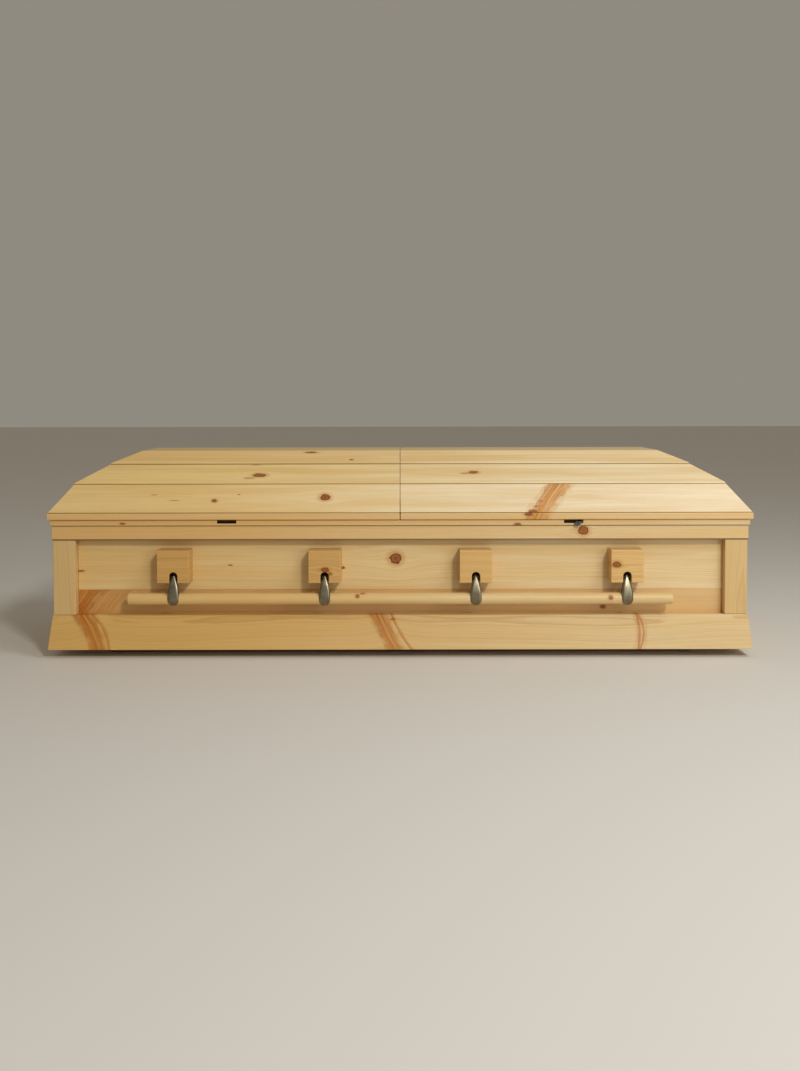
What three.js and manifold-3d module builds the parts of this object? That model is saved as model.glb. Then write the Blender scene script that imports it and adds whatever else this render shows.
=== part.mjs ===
// A pine coffin with a hipped lid in two halves and a swinging carrying bar on each long side.
// Millimetres, +Z up. The origin is on the ground, under the middle of the coffin.
// +X runs along the coffin to the right of someone who stands before it, and the front faces -Y.

import * as THREE from 'three';
import { mergeVertices } from 'three/addons/utils/BufferGeometryUtils.js';
import Module from 'manifold-3d';

const wasm = await Module();
wasm.setup();

// Plan of the lid's rim, from which every inset below is measured inwards
const LENGTH = 2134;
const WIDTH = 711;

// Clearances between pieces that touch
const GAP = 0.3;
const MITRE_PULL = 0.22;
const LID_SPLIT = 2;

// Heights above the ground
const BASE_BOTTOM = 26;
const BASE_TOP = 130;
const FLOOR_BOTTOM = 40;
const PANEL_JOINT = 202.2;
const RAIL_BOTTOM = 358.3;
const RAIL_TOP = 401.2;
const CAP_TOP = 420.2;
const RIM_TOP = 441;
const LID_TOP = 619.8;

// Insets of the body's faces
const BASE_FOOT_INSET = -2;
const BASE_HEAD_INSET = 11;
const CAP_INSET = 7.5;
const RAIL_INSET = 11.5;
const POST_INSET = 13.5;
const POST_WIDTH = 68;
const PANEL_INSET = 42.5;
const BOARD = 19;
const INNER_INSET = PANEL_INSET + BOARD;

// Lid courses: foot and head of each plank's outer face, as [inset, height], lowest course first.
// Each foot laps a few millimetres proud of the head below it.
const LOW_COURSE = { foot: [1.5, RIM_TOP + GAP], head: [65.2, 523.6] };
const MIDDLE_COURSE = { foot: [65.7, 527.9], head: [154, 580.1] };
const UPPER_COURSE = { foot: [155.9, 584.4], head: [236.8, LID_TOP] };

// Easing of the edges that show
const LIP_EASE = 3;
const RIM_EASE = 3;
const RAIL_EASE = 1;
const BASE_HEAD_EASE = 3;
const BASE_FOOT_EASE = 2;
const BAR_EASE = 2.5;

// Runners that lift the coffin off the ground
const RUNNER_LENGTH = 1800;
const RUNNER_WIDTH = 60;
const RUNNER_INSET = 120;

// Carrying bars, with four arms each
const BAR_DIAMETER = 35;
const BAR_LENGTH = 1644;
const BAR_HEIGHT = 182;
const BAR_INSET = -2;
const BAR_Y = BAR_INSET - WIDTH / 2;
const BAR_SIDES = 28;
const ARM_PITCH = 456;
const ARM_COUNT = 4;
const ARM_WIDTH = 35.4;
const ARM_RISE = 71.5;
const ARM_DROP = 21.5;
const ARM_TAPER = 0.74;
const ARM_STEPS = 7;
const ARM_MARGIN = 1.01;
const HEAD_RADIUS = 5.5;
const PIVOT_RISE = ARM_RISE - HEAD_RADIUS;
const PIN_RADIUS = 3;
const PIN_LENGTH = 40;

// The arm's side view: how far up the pivot's rise each edge bends, how far the outer edge swells
// and how far the inner edge thins, above the angle where it leaves the ring
const ARM_OUTER = { low: 0.45, high: 0.75, swell: 5 };
const ARM_INNER = { low: 0.5, high: 0.7, waist: 2, ringAngle: THREE.MathUtils.degToRad(52) };

// Blocks that hold the arms
const BLOCK_WIDTH = 98;
const BLOCK_BOTTOM = 231;
const BLOCK_TOP = 330;
const BLOCK_INSET = -15.5;
const BLOCK_EASE = 2;
const SLOT_WIDTH = 25;
const SLOT_TOP = 264;
const SLOT_DEPTH = 44;

// Finger notches in the cap, one in the middle of each lid half, and the steel catch in the right one
const NOTCH_X = 525;
const NOTCH_WIDTH = 58;
const NOTCH_FLOOR = 409;
const NOTCH_DEPTH = 24;
const CATCH_X = 535;
const CATCH_HEIGHT = 408;
const CATCH_RADIUS = 7.5;
const CATCH_LENGTH = 8;
const CATCH_TAPER = 1.5;
const CATCH_SIDES = 20;

const pine = (colour) => new THREE.MeshStandardMaterial({ color: colour, roughness: 0.55, metalness: 0 });
const lidPine = pine(0xdcbd7c);
const bodyPine = pine(0xcda766);
const blockPine = pine(0xc09a5c);
const nickel = new THREE.MeshStandardMaterial({ color: 0x8a8578, roughness: 0.35, metalness: 1 });

const coffin = new THREE.Group();

function add(name, geometry, material, parent = coffin) {
  const mesh = new THREE.Mesh(geometry, material);
  mesh.name = name;
  parent.add(mesh);
  return mesh;
}

// Booleans

function solid(geometry) {
  const bare = geometry.clone();
  bare.deleteAttribute('normal');
  bare.deleteAttribute('uv');
  const merged = mergeVertices(bare, 1e-3);
  return new wasm.Manifold(new wasm.Mesh({
    numProp: 3,
    vertProperties: new Float32Array(merged.attributes.position.array),
    triVerts: new Uint32Array(merged.index.array),
  }));
}

function fromSolid(manifold) {
  const { vertProperties, triVerts } = manifold.getMesh();
  const geometry = new THREE.BufferGeometry();
  geometry.setAttribute('position', new THREE.BufferAttribute(vertProperties, 3));
  geometry.setIndex(new THREE.BufferAttribute(triVerts, 1));
  geometry.computeVertexNormals();
  return geometry;
}

function boxBetween([x0, y0, z0], [x1, y1, z1]) {
  return new THREE.BoxGeometry(x1 - x0, y1 - y0, z1 - z0)
    .translate((x0 + x1) / 2, (y0 + y1) / 2, (z0 + z1) / 2);
}

// The four sides: each is built as the front is, then turned about Z

const SIDES = {
  front: { turn: 0, reach: WIDTH / 2, half: LENGTH / 2 },
  right: { turn: Math.PI / 2, reach: LENGTH / 2, half: WIDTH / 2 },
  back: { turn: Math.PI, reach: WIDTH / 2, half: LENGTH / 2 },
  left: { turn: -Math.PI / 2, reach: LENGTH / 2, half: WIDTH / 2 },
};

const mitreStart = (half) => (inset) => -half + inset + MITRE_PULL;
const mitreEnd = (half) => (inset) => half - inset - MITRE_PULL;
const squareAt = (place) => () => place;

// A section in [inset, height] with an optional easing radius at each corner
function sectionShape(corners) {
  const shape = new THREE.Shape();
  corners.forEach(([x, y, ease = 0], i) => {
    const before = corners.at(i - 1);
    const after = corners[(i + 1) % corners.length];
    const towards = ([px, py]) => {
      const reach = Math.hypot(px - x, py - y);
      return [x + (px - x) * ease / reach, y + (py - y) * ease / reach];
    };
    const start = ease ? towards(before) : [x, y];
    if (i === 0) shape.moveTo(...start);
    else shape.lineTo(...start);
    if (ease) shape.quadraticCurveTo(x, y, ...towards(after));
  });
  return shape;
}

// A board along one side: its section runs from the cut `start` to the cut `end`.
// A mitre cut follows the inset, so boards of any slope meet in the corner's upright plane.
function board(name, side, corners, material, start, end) {
  const { turn, reach } = SIDES[side];
  const geometry = new THREE.ExtrudeGeometry(sectionShape(corners), {
    depth: 1, steps: 1, bevelEnabled: false, curveSegments: 3,
  });
  const place = geometry.attributes.position;
  for (let i = 0; i < place.count; i += 1) {
    const inset = place.getX(i);
    const height = place.getY(i);
    const along = place.getZ(i) < 0.5 ? start(inset) : end(inset);
    place.setXYZ(i, along, inset - reach, height);
  }
  geometry.computeVertexNormals();
  add(name, geometry, material).rotation.z = turn;
}

function mitredBoard(name, side, corners, material) {
  const { half } = SIDES[side];
  board(name, side, corners, material, mitreStart(half), mitreEnd(half));
}

// A plank of a lid half: mitred at the hip, square at the split
function lidPlank(name, side, corners, hand) {
  const { half } = SIDES[side];
  const hipAtEnd = (side === 'front') === (hand === 'right');
  const split = (hipAtEnd ? 1 : -1) * LID_SPLIT / 2;
  const start = hipAtEnd ? squareAt(split) : mitreStart(half);
  const end = hipAtEnd ? mitreEnd(half) : squareAt(split);
  board(name, side, corners, lidPine, start, end);
}

// Frames drawn in plan and raised, with every long edge eased

function raised(shape, bottom, top, ease) {
  return new THREE.ExtrudeGeometry(shape, {
    depth: top - bottom - 2 * ease,
    steps: 1,
    bevelEnabled: true,
    bevelThickness: ease,
    bevelSize: ease,
    bevelOffset: -ease,
    bevelSegments: 2,
  }).translate(0, 0, bottom + ease);
}

function rectangle(inset, Type = THREE.Shape) {
  const x = LENGTH / 2 - inset;
  const y = WIDTH / 2 - inset;
  return new Type([[-x, -y], [x, -y], [x, y], [-x, y]].map(([px, py]) => new THREE.Vector2(px, py)));
}

function ringShape(outer, inner) {
  const shape = rectangle(outer);
  shape.holes.push(rectangle(inner, THREE.Path));
  return shape;
}

// Underside and floor

for (const [name, sign] of [['runner_front', -1], ['runner_back', 1]]) {
  const y = sign * (WIDTH / 2 - RUNNER_INSET);
  add(name, boxBetween(
    [-RUNNER_LENGTH / 2, y - RUNNER_WIDTH / 2, 0],
    [RUNNER_LENGTH / 2, y + RUNNER_WIDTH / 2, FLOOR_BOTTOM - GAP],
  ), bodyPine);
}

const floorX = LENGTH / 2 - PANEL_INSET;
const floorY = WIDTH / 2 - PANEL_INSET;
const FLOOR_TOP = FLOOR_BOTTOM + BOARD;
add('floor_board', boxBetween([-floorX, -floorY, FLOOR_BOTTOM], [floorX, floorY, FLOOR_TOP]), bodyPine);

// Base: four boards with a sloping face

const baseSection = [
  [BASE_FOOT_INSET, BASE_BOTTOM, BASE_FOOT_EASE],
  [PANEL_INSET - GAP, BASE_BOTTOM],
  [PANEL_INSET - GAP, BASE_TOP],
  [BASE_HEAD_INSET, BASE_TOP, BASE_HEAD_EASE],
];
for (const side of Object.keys(SIDES)) mitredBoard(`base_board_${side}`, side, baseSection, bodyPine);

// Corner posts: a core from the floor to the cap, wider where it shows between base and rail

function postGeometry(signX, signY) {
  const corner = (inset, height) => [
    signX * (LENGTH / 2 - inset),
    signY * (WIDTH / 2 - inset),
    height,
  ];
  const sorted = (a, b) => boxBetween(
    a.map((value, i) => Math.min(value, b[i])),
    a.map((value, i) => Math.max(value, b[i])),
  );
  const back = POST_INSET + POST_WIDTH;
  const core = sorted(corner(PANEL_INSET, FLOOR_TOP + GAP), corner(back, RAIL_TOP));
  const shown = sorted(corner(POST_INSET, BASE_TOP + GAP), corner(back, RAIL_BOTTOM - GAP));
  return fromSolid(solid(core).add(solid(shown)));
}

for (const [end, signX] of [['left', -1], ['right', 1]]) {
  for (const [face, signY] of [['front', -1], ['back', 1]]) {
    add(`corner_post_${face}_${end}`, postGeometry(signX, signY), bodyPine);
  }
}

// Side panels between the posts: two boards on the long sides, one at each end

const panelFoot = FLOOR_TOP + GAP;
const panelSection = (bottom, top) => [
  [PANEL_INSET, bottom],
  [INNER_INSET, bottom],
  [INNER_INSET, top],
  [PANEL_INSET, top],
];
function panel(name, side, bottom, top) {
  const reach = SIDES[side].half - POST_INSET - POST_WIDTH - GAP;
  board(name, side, panelSection(bottom, top), bodyPine, squareAt(-reach), squareAt(reach));
}
for (const side of ['front', 'back']) {
  panel(`side_panel_${side}_lower`, side, panelFoot, PANEL_JOINT);
  panel(`side_panel_${side}_upper`, side, PANEL_JOINT + GAP, RAIL_TOP);
}
for (const side of ['left', 'right']) panel(`end_panel_${side}`, side, panelFoot, RAIL_TOP);

// Top rail and cap: mitred frames, the cap with a finger notch before each lid half

const railRing = ringShape(RAIL_INSET, PANEL_INSET - GAP);
add('top_rail_frame', raised(railRing, RAIL_BOTTOM, RAIL_TOP, RAIL_EASE), bodyPine);

let capFrame = solid(raised(ringShape(CAP_INSET, INNER_INSET), RAIL_TOP + GAP, CAP_TOP, RIM_EASE));
for (const x of [-NOTCH_X, NOTCH_X]) {
  capFrame = capFrame.subtract(solid(boxBetween(
    [x - NOTCH_WIDTH / 2, -WIDTH / 2, NOTCH_FLOOR],
    [x + NOTCH_WIDTH / 2, -WIDTH / 2 + CAP_INSET + NOTCH_DEPTH, RIM_TOP],
  )));
}
add('cap_frame', fromSolid(capFrame), bodyPine);

// The catch is a round steel button, its axis along Y, with a flat back against the cap

const catchShape = [CATCH_RADIUS, CATCH_RADIUS - CATCH_TAPER, CATCH_LENGTH, CATCH_SIDES];
const catchFront = -WIDTH / 2 + CAP_INSET - GAP - CATCH_LENGTH;
add('catch_button', new THREE.CylinderGeometry(...catchShape), nickel)
  .position.set(CATCH_X, catchFront + CATCH_LENGTH / 2, CATCH_HEIGHT);

// Lid halves: a rim, three courses of mitred planks and a flat top board

const normalOf = ({ foot, head }) => {
  const slope = Math.atan2(head[1] - foot[1], head[0] - foot[0]);
  return [Math.sin(slope), -Math.cos(slope)];
};
const TOP_NORMAL = [0, -1];

// The point where a plank's inner face meets the joint plane through `point`.
// The plane halves the angle between the plank and its neighbour.
function innerCorner(course, point, ownNormal, otherNormal) {
  const plane = [ownNormal[0] + otherNormal[0], ownNormal[1] + otherNormal[1]];
  const offset = (point[0] - course.head[0]) * ownNormal[0] + (point[1] - course.head[1]) * ownNormal[1];
  const reach = (BOARD - offset) / (plane[0] * ownNormal[0] + plane[1] * ownNormal[1]);
  return [point[0] + plane[0] * reach, point[1] + plane[1] * reach];
}

// A plank's section, from its foot round by the inside. `below` is the course that it stands on.
function courseSection(course, below, aboveNormal) {
  const own = normalOf(course);
  const seat = [below.head[0] + GAP, below.head[1] + GAP];
  const innerFoot = innerCorner(course, seat, own, normalOf(below));
  const innerHead = innerCorner(course, course.head, own, aboveNormal);
  return [[...course.foot, LIP_EASE], seat, innerFoot, innerHead, course.head];
}

function lowSection() {
  const own = normalOf(LOW_COURSE);
  const innerFoot = [LOW_COURSE.foot[0] + BOARD / own[0], LOW_COURSE.foot[1]];
  const innerHead = innerCorner(LOW_COURSE, LOW_COURSE.head, own, normalOf(MIDDLE_COURSE));
  return [[...LOW_COURSE.foot, LIP_EASE], innerFoot, innerHead, LOW_COURSE.head];
}

const COURSES = {
  low: lowSection(),
  middle: courseSection(MIDDLE_COURSE, LOW_COURSE, normalOf(UPPER_COURSE)),
  upper: courseSection(UPPER_COURSE, MIDDLE_COURSE, TOP_NORMAL),
};

function rimShape(sign) {
  const outer = { x: LENGTH / 2, y: WIDTH / 2 };
  const inner = { x: LENGTH / 2 - INNER_INSET, y: WIDTH / 2 - INNER_INSET };
  const split = LID_SPLIT / 2;
  const corners = [
    [split, -outer.y], [outer.x, -outer.y], [outer.x, outer.y], [split, outer.y],
    [split, inner.y], [inner.x, inner.y], [inner.x, -inner.y], [split, -inner.y],
  ].map(([x, y]) => new THREE.Vector2(sign * x, y));
  return new THREE.Shape(sign > 0 ? corners : corners.reverse());
}

// The flat top: its three outer edges lean with the joint to the upper planks
function topBoard(sign) {
  const upper = normalOf(UPPER_COURSE);
  const lean = upper[0] / (1 - upper[1]);
  const head = UPPER_COURSE.head[0] + GAP;
  const under = head + lean * BOARD;
  const level = (inset, height) => {
    const x = sign * (LENGTH / 2 - inset);
    const y = WIDTH / 2 - inset;
    const split = sign * LID_SPLIT / 2;
    return [[split, -y, height], [x, -y, height], [x, y, height], [split, y, height]];
  };
  const corners = [...level(under, LID_TOP - BOARD), ...level(head, LID_TOP)];
  const quads = [[3, 2, 1, 0], [4, 5, 6, 7], [0, 1, 5, 4], [1, 2, 6, 5], [2, 3, 7, 6], [3, 0, 4, 7]];
  const faces = quads.flatMap(([a, b, c, d]) => [[a, b, c], [a, c, d]]);
  const geometry = new THREE.BufferGeometry();
  geometry.setAttribute('position', new THREE.Float32BufferAttribute(corners.flat(), 3));
  geometry.setIndex(faces.flatMap((face) => (sign > 0 ? face : face.toReversed())));
  geometry.computeVertexNormals();
  return geometry;
}

for (const [hand, sign] of [['left', -1], ['right', 1]]) {
  add(`lid_${hand}_rim`, raised(rimShape(sign), CAP_TOP + GAP, RIM_TOP, RIM_EASE), lidPine);
  for (const [course, section] of Object.entries(COURSES)) {
    for (const side of ['front', 'back']) {
      lidPlank(`lid_${hand}_${course}_plank_${side}`, side, section, hand);
    }
    mitredBoard(`lid_${hand}_${course}_plank_end`, hand, section, lidPine);
  }
  add(`lid_${hand}_top_board`, topBoard(sign), lidPine);
}

// Handle blocks, drawn about the block's own middle on the front side, then turned for the back

const armPlaces = Array.from({ length: ARM_COUNT }, (_, i) => (i - (ARM_COUNT - 1) / 2) * ARM_PITCH);
const pivotHeight = BAR_HEIGHT + PIVOT_RISE;

// A shape drawn in X and Z becomes a solid between two places in Y
function alongY(shape, y0, y1, curveSegments = 8) {
  return new THREE.ExtrudeGeometry(shape, { depth: y1 - y0, bevelEnabled: false, curveSegments })
    .rotateX(Math.PI / 2)
    .translate(0, y1, 0);
}

function pinAlongX(radius, length, y, z, sides = 12) {
  return new THREE.CylinderGeometry(radius, radius, length, sides)
    .rotateZ(Math.PI / 2)
    .translate(0, y, z);
}

function blockGeometry() {
  const face = BLOCK_INSET - WIDTH / 2;
  const back = PANEL_INSET - GAP - WIDTH / 2;
  const plate = new THREE.Shape([
    new THREE.Vector2(-BLOCK_WIDTH / 2, BLOCK_BOTTOM),
    new THREE.Vector2(BLOCK_WIDTH / 2, BLOCK_BOTTOM),
    new THREE.Vector2(BLOCK_WIDTH / 2, BLOCK_TOP),
    new THREE.Vector2(-BLOCK_WIDTH / 2, BLOCK_TOP),
  ]);
  const block = new THREE.ExtrudeGeometry(plate, {
    depth: back - face - 2 * BLOCK_EASE,
    bevelEnabled: true,
    bevelThickness: BLOCK_EASE,
    bevelSize: BLOCK_EASE,
    bevelOffset: -BLOCK_EASE,
    bevelSegments: 1,
  }).rotateX(Math.PI / 2).translate(0, back - BLOCK_EASE, 0);
  const half = SLOT_WIDTH / 2;
  const arch = new THREE.Shape();
  arch.moveTo(-half, BLOCK_BOTTOM - 1);
  arch.lineTo(half, BLOCK_BOTTOM - 1);
  arch.lineTo(half, SLOT_TOP - half);
  arch.absarc(0, SLOT_TOP - half, half, 0, Math.PI);
  const bore = pinAlongX(PIN_RADIUS + GAP, PIN_LENGTH + 2, BAR_Y, pivotHeight);
  return fromSolid(solid(block)
    .subtract(solid(alongY(arch, face - 1, face + SLOT_DEPTH)))
    .subtract(solid(bore)));
}

// An arm is a ring round the bar, drawn out upwards to the pivot. Its side view and its
// drop-shaped front view are cut from one another, then the bar's hole is bored.

function armSideShape() {
  const ring = ARM_DROP;
  const { low, high, swell } = ARM_OUTER;
  const { waist, ringAngle } = ARM_INNER;
  const shape = new THREE.Shape();
  shape.moveTo(ring, 0);
  shape.absarc(0, 0, ring, 0, -Math.PI, true);
  shape.bezierCurveTo(
    -ring, PIVOT_RISE * low,
    -HEAD_RADIUS - swell, PIVOT_RISE * high,
    -HEAD_RADIUS, PIVOT_RISE,
  );
  shape.absarc(0, PIVOT_RISE, HEAD_RADIUS, Math.PI, 0, true);
  shape.bezierCurveTo(
    HEAD_RADIUS, PIVOT_RISE * ARM_INNER.high,
    HEAD_RADIUS - waist, PIVOT_RISE * ARM_INNER.low,
    ring * Math.cos(ringAngle), ring * Math.sin(ringAngle),
  );
  shape.absarc(0, 0, ring, ringAngle, 0, true);
  return shape;
}

// Half widths of the drop: a half ellipse below the bar's middle, a long taper above it.
// ARM_MARGIN keeps its ends just past the side view's, so that the two views cut cleanly.
function armFrontShape() {
  const right = [];
  for (let i = 0; i <= ARM_STEPS; i += 1) {
    const s = Math.sin((i / ARM_STEPS - 1) * Math.PI / 2);
    right.push([ARM_WIDTH / 2 * Math.sqrt(Math.max(0, 1 - s * s)), ARM_DROP * ARM_MARGIN * s]);
  }
  for (let i = 1; i <= ARM_STEPS; i += 1) {
    const s = Math.sin(i / ARM_STEPS * Math.PI / 2);
    right.push([ARM_WIDTH / 2 * (1 - s * s) ** ARM_TAPER, ARM_RISE * ARM_MARGIN * s]);
  }
  const left = right.slice(1, -1).reverse().map(([x, z]) => [-x, z]);
  return new THREE.Shape([...right, ...left].map(([x, z]) => new THREE.Vector2(x, z)));
}

function armGeometry() {
  const side = new THREE.ExtrudeGeometry(armSideShape(), {
    depth: ARM_WIDTH + 2, bevelEnabled: false, curveSegments: 7,
  })
    .rotateX(Math.PI / 2)
    .rotateZ(Math.PI / 2)
    .translate(-ARM_WIDTH / 2 - 1, 0, 0);
  const front = alongY(armFrontShape(), -ARM_DROP - 5, ARM_DROP + 5);
  const pin = pinAlongX(PIN_RADIUS, PIN_LENGTH, 0, PIVOT_RISE);
  const bore = pinAlongX(BAR_DIAMETER / 2 + GAP, ARM_WIDTH + 4, 0, 0, BAR_SIDES);
  const drop = solid(side).intersect(solid(front)).add(solid(pin)).subtract(solid(bore));
  return fromSolid(drop);
}

function barGeometry() {
  const r = BAR_DIAMETER / 2;
  const half = BAR_LENGTH / 2;
  const ease = BAR_EASE;
  const profile = [
    [0, -half], [r - ease, -half], [r, ease - half],
    [r, half - ease], [r - ease, half], [0, half],
  ];
  const points = profile.map(([x, y]) => new THREE.Vector2(x, y));
  return new THREE.LatheGeometry(points, BAR_SIDES).rotateZ(Math.PI / 2);
}

const block = blockGeometry();
const arm = armGeometry();
for (const [face, turn] of [['front', 0], ['back', Math.PI]]) {
  const side = new THREE.Group();
  side.rotation.z = turn;
  coffin.add(side);
  armPlaces.forEach((x, i) => {
    add(`handle_block_${face}_${i + 1}`, block, blockPine, side).position.x = x;
    add(`handle_arm_${face}_${i + 1}`, arm, nickel, side).position.set(x, BAR_Y, BAR_HEIGHT);
  });
  add(`carrying_bar_${face}`, barGeometry(), bodyPine, side).position.set(0, BAR_Y, BAR_HEIGHT);
}

export default coffin;
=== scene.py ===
# %% [markdown]
# # A pine coffin, dressed board by board
#
# The solids that this script loads are the coffin's construction: every board, block, arm and bar at its
# real size. This one is plain knotty pine under a clear lacquer, so its looks lie in three things: edges
# that a sander has eased, wood whose grain runs along each board and bends round its knots, and cast handle
# arms of darkened nickel. The frame comes first, because every piece below is made to fit it.

import math
from contextlib import contextmanager

import bpy
from mathutils import Matrix, Vector


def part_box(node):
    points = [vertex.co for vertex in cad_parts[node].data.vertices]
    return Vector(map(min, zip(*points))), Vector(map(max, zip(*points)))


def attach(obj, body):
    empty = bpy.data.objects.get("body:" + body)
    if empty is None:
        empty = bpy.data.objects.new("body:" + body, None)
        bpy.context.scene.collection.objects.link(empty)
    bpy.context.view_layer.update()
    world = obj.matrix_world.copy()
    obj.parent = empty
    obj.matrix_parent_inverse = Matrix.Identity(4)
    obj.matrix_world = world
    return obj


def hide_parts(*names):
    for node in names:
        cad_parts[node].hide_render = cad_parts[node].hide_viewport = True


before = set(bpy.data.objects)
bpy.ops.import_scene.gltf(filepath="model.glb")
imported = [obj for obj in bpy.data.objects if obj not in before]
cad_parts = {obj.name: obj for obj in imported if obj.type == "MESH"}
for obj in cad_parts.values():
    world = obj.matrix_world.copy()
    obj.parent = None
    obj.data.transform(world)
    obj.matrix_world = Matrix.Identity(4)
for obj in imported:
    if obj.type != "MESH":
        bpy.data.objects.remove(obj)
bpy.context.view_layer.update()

# %% [markdown]
# ## The camera
#
# The photograph was taken square on, a little above the lid, with the lens looking almost level. Its crop
# sits low on the picture, which is what a vertical shift does. The camera leans by a tenth of a degree.

# %% Set up the camera
MM = 0.001
PICTURE_HEIGHT = 1071
FOCAL_PIXELS = 1112.6
AXIS_ABOVE_MIDDLE = 94.4
CAMERA_PLACE = (0, -3.7025, 0.7792)
CAMERA_PITCH = math.radians(90 - 2.07)
CAMERA_ROLL = math.radians(-0.095)

lens = bpy.data.cameras.new("studio_camera")
lens.sensor_width = 36
lens.lens = FOCAL_PIXELS * lens.sensor_width / PICTURE_HEIGHT
lens.shift_y = -AXIS_ABOVE_MIDDLE / PICTURE_HEIGHT
camera = bpy.data.objects.new("studio_camera", lens)
camera.matrix_world = (
    Matrix.Translation(CAMERA_PLACE)
    @ Matrix.Rotation(CAMERA_PITCH, 4, "X")
    @ Matrix.Rotation(CAMERA_ROLL, 4, "Z")
)
bpy.context.collection.objects.link(camera)
bpy.context.scene.camera = camera
print(f"a {lens.lens:.1f} mm lens, {-CAMERA_PLACE[1]:.2f} m before the coffin")

# %% [markdown]
# ## Light and floor
#
# The main lamp stands on the right, well in front: the blocks throw short, soft shadows down and to the
# left. Two wide, weaker panels on the right, one overhead and one low, lay a pale sheen on that end of the
# lacquer, and the wood's tones are painted paler towards that end as more of the same sheen. A warm room
# fills the rest. The floor is a plain pale sheet that runs back to the horizon.

# %% Light the studio
LAMPS = {
    "key_lamp": {"place": (1.92, -5.0, 3.5), "size": 0.8, "power": 132, "tint": (1.0, 0.99, 0.96)},
    "overhead_panel": {"place": (2.1, -1.7, 3.1), "size": 1.5, "power": 38, "tint": (0.86, 0.94, 1.0)},
    "low_panel": {"place": (3.0, -4.4, 1.2), "size": 1.6, "power": 34, "tint": (0.86, 0.94, 1.0)},
}
LAMP_AIM = Vector((0.3, -0.3, 0.3))
ROOM_LIGHT = (1.0, 0.93, 0.79)
ROOM_STRENGTH = 0.28

bpy.ops.object.select_all(action="DESELECT")
for name, lamp in LAMPS.items():
    light = bpy.data.lights.new(name, "AREA")
    light.shape = "DISK"
    light.size = lamp["size"]
    light.energy = lamp["power"]
    light.color = lamp["tint"]
    stand = bpy.data.objects.new(name, light)
    stand.location = lamp["place"]
    stand.rotation_euler = (LAMP_AIM - stand.location).to_track_quat("-Z", "Y").to_euler()
    bpy.context.collection.objects.link(stand)

world = bpy.data.worlds.new("warm_room")
world.use_nodes = True
glow = world.node_tree.nodes["Background"].inputs
glow["Color"].default_value = (*ROOM_LIGHT, 1)
glow["Strength"].default_value = ROOM_STRENGTH
bpy.context.scene.world = world
bpy.context.scene.view_settings.view_transform = "Standard"
print(f"{len(LAMPS)} lamps and a warm room")

# %% Lay the floor
FLOOR_SIZE = 60
FLOOR_COLOUR = (0.72, 0.67, 0.61, 1)
FLOOR_ROUGHNESS = 0.9

bpy.ops.mesh.primitive_plane_add(size=FLOOR_SIZE, location=(0, 0, 0))
floor = bpy.context.object
floor.name = "studio_floor"
floor_paint = bpy.data.materials.new("pale_floor")
floor_paint.use_nodes = True
paint = floor_paint.node_tree.nodes["Principled BSDF"].inputs
paint["Base Color"].default_value = FLOOR_COLOUR
paint["Roughness"].default_value = FLOOR_ROUGHNESS
floor.data.materials.append(floor_paint)
print(f"a floor {FLOOR_SIZE} m wide")

# %% [markdown]
# ## Wiring materials
#
# A material is a graph of small nodes. These helpers add one node each to the tree that lies on the desk, so
# that the recipes below read like sums. `feed` takes either a plain value or another node's output.

# %% Helpers for node graphs
class Desk:
    """Holds the node tree that is open, as the shader editor does."""
    tree = None


def feed(socket, value):
    """Links another node's output to a socket, or sets the socket to a plain value."""
    if isinstance(value, bpy.types.NodeSocket):
        Desk.tree.links.new(value, socket)
    else:
        socket.default_value = value


def add_node(kind, values=(), **settings):
    """Adds a shader node and feeds its inputs, given in order or by name."""
    made = Desk.tree.nodes.new("ShaderNode" + kind)
    for setting, value in settings.items():
        setattr(made, setting, value)
    pairs = values.items() if isinstance(values, dict) else enumerate(values)
    for key, value in pairs:
        feed(made.inputs[key], value)
    return made


def calc(operation, *values):
    """A Math node: one number from one, two or three."""
    return add_node("Math", values, operation=operation).outputs[0]


def times(first, second):
    return calc("MULTIPLY", first, second)


def plus(first, second):
    return calc("ADD", first, second)


def minus(first, second):
    return calc("SUBTRACT", first, second)


def scaled(value, factor, extra):
    """The value times a factor, and something added."""
    return calc("MULTIPLY_ADD", value, factor, extra)


def swayed(value, wave, amount):
    """The value, pushed up or down by a noise, by half the amount each way."""
    return scaled(minus(wave, 0.5), amount, value)


def vector_calc(operation, *values):
    """A Vector Math node that gives a vector."""
    return add_node("VectorMath", values, operation=operation).outputs["Vector"]


def vector(x, y, z=0.0):
    return add_node("CombineXYZ", (x, y, z)).outputs[0]


def parts_of(place):
    """The three numbers of a vector: along, across and depth."""
    return add_node("SeparateXYZ", (place,)).outputs


def fade(value, start, end):
    """0 before start, 1 after end, and a smooth rise between them. Start may be the higher."""
    rise = add_node("MapRange", interpolation_type="SMOOTHSTEP")
    for name, number in (("Value", value), ("From Min", start), ("From Max", end)):
        feed(rise.inputs[name], number)
    return rise.outputs["Result"]


def noise(place, stretch, detail=2.0):
    """Soft noise from 0 to 1, with `stretch` cycles a metre along, across and in depth."""
    stretched = vector_calc("MULTIPLY", place, stretch)
    texture = add_node("TexNoise", {"Vector": stretched, "Scale": 1.0, "Detail": detail})
    return texture.outputs["Fac"]


MIX_FACTOR, MIX_A, MIX_B, MIX_RESULT = 0, 6, 7, 2


def blend(amount, first, second):
    """Two colours mixed: all the first at 0, all the second at 1."""
    mix = add_node("Mix", data_type="RGBA")
    feed(mix.inputs[MIX_FACTOR], amount)
    feed(mix.inputs[MIX_A], first)
    feed(mix.inputs[MIX_B], second)
    return mix.outputs[MIX_RESULT]


def stained(tint, layers):
    """A tint under layers of colour, each given as (mask, strength, colour code)."""
    for mask, strength, code in layers:
        tint = blend(times(mask, strength), tint, colour(code))
    return tint


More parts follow.
